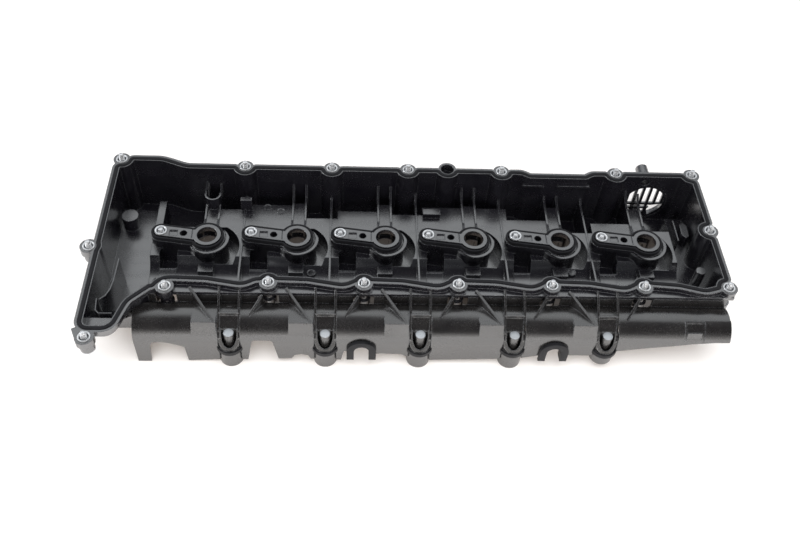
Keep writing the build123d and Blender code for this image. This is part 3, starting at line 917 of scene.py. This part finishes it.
@dataclass
class PostShadeBands:
    """Dark bands with the seal rubber's finish round the front of each post, on its collar: painted shade
    where the gap round the collar lies in shadow.
    """

    finishes: Finishes
    y: float = -114.0
    middle: float = -47.0
    inner: float = 12.4
    outer: float = 13.5
    half_height: float = 2.5
    bevel: float = 0.4
    swing: float = 82.0               # degrees to either side of the front
    steps: int = 36

    def build(self) -> None:
        """Builds one band and sets it on the five posts."""
        # painted shade: a dark band put where the gap between the post's wall and its lower cylinder is in
        # shade
        band = bmesh.new()
        high, near, far, edge = self.half_height, self.inner, self.outer, self.bevel
        section = [(near, -high), (far - edge, -high), (far, edge - high), (far, high - edge),
                   (far - edge, high), (near, high)]
        arc_bar(band, lambda share: section, -90 - self.swing, -90 + self.swing, self.steps)
        whole = Scatter("post_bands").run(band, post_spots(self.y, self.middle), 0.0, self.finishes.rubber)
        piece("post_bands", whole, self.finishes.rubber)


@dataclass
class BossShelves:
    """The thin shelf round the front and right of each injector boss."""

    finishes: Finishes
    inner: float = 18.9
    outer: float = 22.2
    top: float = -23.4
    thick: float = 1.7
    chamfer: Point = (0.3, 0.35)      # inwards and down
    start: float = -128.0
    end: float = 34.0
    steps: int = 40

    def section(self, share: float) -> list[Point]:
        """Returns the shelf's section, which narrows to nothing in the last fifth at each end.

        Args:
            share: Share of the way round.
        """
        fade = min(1.0, 5 * min(share, 1 - share))
        far = self.inner + (self.outer - self.inner) * fade
        return [(self.inner, -self.thick), (far, -self.thick), (far, -self.chamfer[1]),
                (far - self.chamfer[0] * fade, 0), (self.inner, 0)]

    def build(self) -> None:
        """Builds one shelf and sets it at the six bosses."""
        shape = bmesh.new()
        arc_bar(shape, self.section, self.start, self.end, self.steps)
        spots = [place(FIRST_X + PITCH * k, 0, self.top) for k in range(CYLINDERS)]
        whole = Scatter("boss_shelves").run(shape, spots, 0.0, self.finishes.nylon)
        piece("boss_shelves", whole, self.finishes.nylon)


@dataclass
class MouldMarks:
    """Round ejector marks on the deck and small bosses in the trough."""

    finishes: Finishes
    carrier: Carrier
    radius: float = 4.6
    sunk: float = 3.0                 # into the floor
    bevel: float = 0.25
    dish: Point = (1.2, 0.3)          # in from the side and down from the top
    rim: float = 0.9
    above: float = -20.0              # height from which the floor is looked for
    mark_height: float = 0.55
    boss_height: float = 2.4
    marks: tuple[Point, ...] = ((-170.4, 53.7), (-156.2, 48.2))
    bosses: tuple[Point, ...] = ((-121.6, -27.2), (149.4, -23.8))

    def build(self) -> None:
        """Builds both kinds."""
        self.row("ejector_marks", self.marks, self.mark_height)
        self.row("trough_bosses", self.bosses, self.boss_height)

    def row(self, name: str, places: tuple[Point, ...], height: float) -> None:
        """Builds one kind, each standing on the floor below it.

        Args:
            name: Name of the piece.
            places: Middles in millimetres.
            height: Height over the floor.
        """
        shape = bmesh.new()
        r, floor = self.radius, height - self.dish[1]
        lathe(shape, [(0, -self.sunk), (r, -self.sunk), (r, height - self.bevel), (r - self.bevel, height),
                      (r - self.rim, height), (r - self.dish[0], floor), (0, floor)], 32)
        spots = [place(x, y, self.carrier.reach((x, y, self.above), (0, 0, -1)).z) for x, y in places]
        whole = Scatter(name).run(shape, spots, 0.0, self.finishes.nylon)
        piece(name, whole, self.finishes.nylon)


@dataclass
class WallForms:
    """Ledges, ribs and columns that stand on the walls and floors of the cover."""

    finishes: Finishes
    carrier: Carrier
    ledges: tuple[Point, ...] = ((103.1, 126.0), (141.1, 176.1))
    ledge_depth: float = 2.6
    ledge_thick: float = 2.4
    ledge_level: float = -3.8
    rear_wall: float = 66.2
    ledge_drop: float = 1.21          # for each millimetre that the wall stands further back
    guide: tuple[Point, ...] = ((-308.0, -38.0), (-308.2, -52.0), (-308.6, -66.0), (-310.0, -76.0),
                                (-313.0, -84.0), (-318.0, -88.5))
    guide_top: float = -13.0
    rim: tuple[Point, ...] = ((-318.5, -91.9), (-317.0, -105.5), (-313.8, -109.0), (-301.5, -108.9))
    rim_top: float = -7.0
    skirt: tuple[Point, Point] = ((-240.0, -64.8), (258.0, -63.2))
    skirt_span: Point = (-66.0, -33.0)   # foot and top, as in the other spans
    bearing_rib: tuple[Point, Point] = ((268.1, 12.0), (268.1, 41.0))
    bearing_rib_top: float = -31.0
    block: tuple[Point, ...] = ((275.5, 24), (279.5, 19.5), (284, 22), (285, 38), (281, 44), (276, 40))
    block_span: Point = (-52.0, -36.0)
    block_taper: float = 0.8
    column: Point = (277.0, -38.0)
    column_radius: float = 5.2
    column_span: Point = (-52.0, -20.0)
    land: Point = (-196.0, -100.4)
    land_radii: Point = (6.4, 9.0)    # along the row and across it
    land_span: Point = (-36.0, -16.6)

    def ribbon(self, shape: bmesh.types.BMesh, line: tuple[Point, ...], top: float, thick: float,
               sink: float = 1.2) -> None:
        """Adds a thin upright rib along a line, from the floor below it to a level top.

        Args:
            shape: Mesh to add to.
            line: Corners of the rib's middle, in millimetres.
            top: Height of the top.
            thick: Thickness at the foot.
            sink: How deep the foot goes into the floor.
        """
        rows = []
        for k, (x, y) in enumerate(line):
            before, after = line[max(k - 1, 0)], line[min(k + 1, len(line) - 1)]
            along = Vector((after[0] - before[0], after[1] - before[1])).normalized()
            side = Vector((-along.y, along.x)) * thick / 2
            foot = self.carrier.reach((x, y, top - 0.3), (0, 0, -1)).z - sink
            corners = ((-1.0, foot), (1.0, foot), (0.7, top), (-0.7, top))
            rows.append([shape.verts.new(place(x + side.x * share, y + side.y * share, z))
                         for share, z in corners])
        join_rows(shape, rows)

    def add_ledges(self) -> None:
        """Builds the two ledges on the rear wall."""
        shape = bmesh.new()
        for x0, x1 in self.ledges:
            wall = self.carrier.reach(((x0 + x1) / 2, 40, -9), (0, 1, 0)).y
            level = self.ledge_level - self.ledge_drop * (wall - self.rear_wall)
            front, back = wall - self.ledge_depth, wall + 0.8
            slab(shape, [(x0, front), (x1, front), (x1, back), (x0, back)], level - self.ledge_thick, level)
        piece("rear_wall_ledges", shape, self.finishes.nylon)

    def add_guides(self) -> None:
        """Builds the chain guide and the rib along the leg's rim."""
        shape = bmesh.new()
        self.ribbon(shape, self.guide, self.guide_top, 1.6)
        self.ribbon(shape, self.rim, self.rim_top, 1.4, 0.8)
        piece("chain_guide_ribs", shape, self.finishes.nylon)

    def add_skirt(self) -> None:
        """Builds the long rib that hangs under the trough behind the screw windows."""
        shape = bmesh.new()
        (x0, y0), (x1, y1) = self.skirt
        slab(shape, [(x0, y0), (x1, y0), (x1, y1), (x0, y1)], *self.skirt_span)
        piece("trough_skirt", shape, self.finishes.nylon)

    def add_chamber_forms(self) -> None:
        """Builds the rib, the block and the round column of the right end chamber."""
        shape = bmesh.new()
        self.ribbon(shape, self.bearing_rib, self.bearing_rib_top, 1.8)
        slab(shape, list(self.block), *self.block_span, self.block_taper)
        piece("end_chamber_forms", shape, self.finishes.nylon)
        shape = bmesh.new()
        slab(shape, oval(*self.column, self.column_radius, self.column_radius, 360), *self.column_span)
        piece("end_chamber_column", shape, self.finishes.nylon)

    def add_land(self) -> None:
        """Builds the half-round land behind the first post."""
        shape = bmesh.new()
        slab(shape, oval(*self.land, *self.land_radii, 181), *self.land_span)
        piece("post_half_land", shape, self.finishes.apron)

    def build(self) -> None:
        """Builds the forms, each seated on the shell."""
        self.add_ledges()
        self.add_guides()
        self.add_skirt()
        self.add_chamber_forms()
        self.add_land()


# ---- studio -------------------------------------------------------------------------------


@dataclass(frozen=True)
class SoftBox:
    """One soft lamp that faces the cover."""

    name: str
    spot: tuple[float, float, float]
    size: Point
    power: float
    colour: Colour
    mirrored: bool = False            # whether glossy surfaces show the lamp itself

    def build(self, target: Vector) -> None:
        """Hangs the lamp.

        Args:
            target: Point in metres that it faces.
        """
        data = bpy.data.lights.new(self.name, "AREA")
        data.shape, data.size, data.size_y = "RECTANGLE", self.size[0], self.size[1]
        data.energy, data.color = self.power, self.colour
        obj = bpy.data.objects.new(self.name, data)
        bpy.context.scene.collection.objects.link(obj)
        obj.location = self.spot
        obj.rotation_euler = (target - Vector(self.spot)).to_track_quat("-Z", "Y").to_euler()
        obj.visible_glossy = self.mirrored


@dataclass
class Studio:
    """Pale floor, soft lights and the camera."""

    eye: tuple[float, float, float] = (-0.06195, -0.5808, 0.7434)
    right: tuple[float, float, float] = (0.9982, -0.0269, 0.0543)
    up: tuple[float, float, float] = (-0.0136, 0.7738, 0.6333)
    lens: float = 40.3
    target: tuple[float, float, float] = (0.0, 0.0, 0.03)
    boxes: tuple[SoftBox, ...] = (
        SoftBox("rear_box", (0.15, 1.5, 1.85), (2.6, 0.7), 8, (0.92, 0.97, 1.0)),
        SoftBox("left_box", (-1.9, 0.2, 1.0), (0.5, 0.9), 8, (0.97, 0.98, 1.0), True),
        SoftBox("front_box", (0.1, -1.5, 0.6), (2.8, 0.5), 30, (1.0, 0.985, 0.965)),
        SoftBox("ceiling", (0.0, -0.7, 2.3), (3.0, 1.6), 58, (1.0, 1.0, 1.0)))
    front_sky: tuple[tuple[float, Colour], ...] = (
        (0.0, (1.0, 0.97, 0.94)), (1.0, (0.04, 0.04, 0.045)), (0.16, (0.8, 0.78, 0.76)),
        (0.34, (0.06, 0.06, 0.065)), (0.6, (0.015, 0.015, 0.018)))
    rear_sky: tuple[tuple[float, Colour], ...] = (
        (0.0, (0.6, 0.6, 0.62)), (1.0, (0.1, 0.1, 0.11)), (0.3, (0.2, 0.205, 0.22)),
        (0.56, (0.4, 0.43, 0.47)), (0.7, (0.95, 0.98, 1.0)), (0.95, (0.95, 0.98, 1.0)))
    seam: float = 0.12                # half width of the change from one sky to the other
    floor_reach: float = 6.0
    floor_colour: Colour = (0.82, 0.815, 0.81)
    floor_glow: Colour = (0.165, 0.135, 0.115)

    def camera(self) -> None:
        """Sets the camera."""
        across, rise = Vector(self.right).normalized(), Vector(self.up)
        rise = (rise - across * rise.dot(across)).normalized()
        back = across.cross(rise)
        data = bpy.data.cameras.new("camera")
        data.lens, data.sensor_width = self.lens, 36.0
        data.clip_start, data.clip_end = 0.05, 50.0
        obj = bpy.data.objects.new("camera", data)
        bpy.context.scene.collection.objects.link(obj)
        turn = Matrix((across, rise, back)).transposed().to_4x4()
        obj.matrix_world = Matrix.Translation(Vector(self.eye)) @ turn
        bpy.context.scene.camera = obj

    def world(self) -> None:
        """Gives the room two skies that change with height, one in front and one behind."""
        room = bpy.data.worlds.new("room")
        bpy.context.scene.world = room
        room.use_nodes = True
        tree = room.node_tree
        tree.nodes.clear()
        where = tree.nodes.new("ShaderNodeTexCoord")
        split = tree.nodes.new("ShaderNodeSeparateXYZ")
        side = tree.nodes.new("ShaderNodeMapRange")
        side.inputs["From Min"].default_value = -self.seam
        side.inputs["From Max"].default_value = self.seam
        both = tree.nodes.new("ShaderNodeMix")
        both.data_type = "RGBA"
        shade = tree.nodes.new("ShaderNodeBackground")
        output = tree.nodes.new("ShaderNodeOutputWorld")
        link = tree.links.new
        link(where.outputs["Generated"], split.inputs["Vector"])
        link(split.outputs["Y"], side.inputs["Value"])
        link(side.outputs["Result"], both.inputs["Factor"])
        for socket, stops in ((6, self.front_sky), (7, self.rear_sky)):
            ramp = tree.nodes.new("ShaderNodeValToRGB")
            marks = ramp.color_ramp.elements
            for n, (height, colour) in enumerate(stops):
                mark = marks[n] if n < 2 else marks.new(height)
                mark.position, mark.color = height, (*colour, 1)
            link(split.outputs["Z"], ramp.inputs["Fac"])
            link(ramp.outputs["Color"], both.inputs[socket])
        link(both.outputs[2], shade.inputs["Color"])
        link(shade.outputs["Background"], output.inputs["Surface"])
        shade.inputs["Strength"].default_value = 1.0

    def floor(self) -> None:
        """Lays the pale floor that the camera sees as white, with the cover's shadow on it."""
        mesh = bpy.data.meshes.new("floor")
        far = self.floor_reach
        mesh.from_pydata([(-far, -far, 0), (far, -far, 0), (far, far, 0), (-far, far, 0)], [], [(0, 1, 2, 3)])
        obj = bpy.data.objects.new("floor", mesh)
        bpy.context.scene.collection.objects.link(obj)
        material = bpy.data.materials.new("floor")
        material.use_nodes = True
        tree = material.node_tree
        tree.nodes.clear()
        plain = tree.nodes.new("ShaderNodeBsdfDiffuse")
        plain.inputs["Color"].default_value = (*self.floor_colour, 1)
        glow = tree.nodes.new("ShaderNodeEmission")
        glow.inputs["Color"].default_value = (*self.floor_glow, 1)
        glow.inputs["Strength"].default_value = 1.0
        path = tree.nodes.new("ShaderNodeLightPath")
        add = tree.nodes.new("ShaderNodeAddShader")
        either = tree.nodes.new("ShaderNodeMath")
        either.operation = "MAXIMUM"
        pick = tree.nodes.new("ShaderNodeMixShader")
        output = tree.nodes.new("ShaderNodeOutputMaterial")
        link = tree.links.new
        link(path.outputs["Is Camera Ray"], either.inputs[0])
        link(path.outputs["Is Glossy Ray"], either.inputs[1])
        link(plain.outputs[0], add.inputs[0])
        link(glow.outputs[0], add.inputs[1])
        link(either.outputs[0], pick.inputs["Fac"])
        link(plain.outputs[0], pick.inputs[1])
        link(add.outputs[0], pick.inputs[2])
        link(pick.outputs[0], output.inputs["Surface"])
        coat(obj, material)

    def build(self) -> None:
        """Sets up camera, lamps, world and floor."""
        self.camera()
        for box in self.boxes:
            box.build(Vector(self.target))
        self.world()
        self.floor()
        bpy.context.scene.view_settings.view_transform = "Standard"


# ---- main ---------------------------------------------------------------------------------


def dress_nodes(finishes: Finishes) -> None:
    """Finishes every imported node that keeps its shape.

    Args:
        finishes: The materials.
    """
    choice = {"cover_shell": finishes.nylon, "filler_grille": finishes.nylon,
              "side_apron": finishes.apron}
    for name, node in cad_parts.items():
        steel = "screw" in name or "sleeve" in name
        coat(node, choice.get(name, finishes.steel if steel else finishes.rubber))
        log.info("%s dressed", name)


def main() -> None:
    """Builds the pieces in order."""
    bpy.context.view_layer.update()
    finishes = Finishes()
    dress_nodes(finishes)
    Fasteners(finishes).build()
    Seals(finishes).build()
    carrier = Carrier()
    PinCaps(finishes).build()
    PostShadeBands(finishes).build()
    BossShelves(finishes).build()
    MouldMarks(finishes, carrier).build()
    WallForms(finishes, carrier).build()
    Studio().build()


if __name__ == "__main__":
    logging.basicConfig(level=logging.INFO, format="%(name)s: %(message)s")
    main()
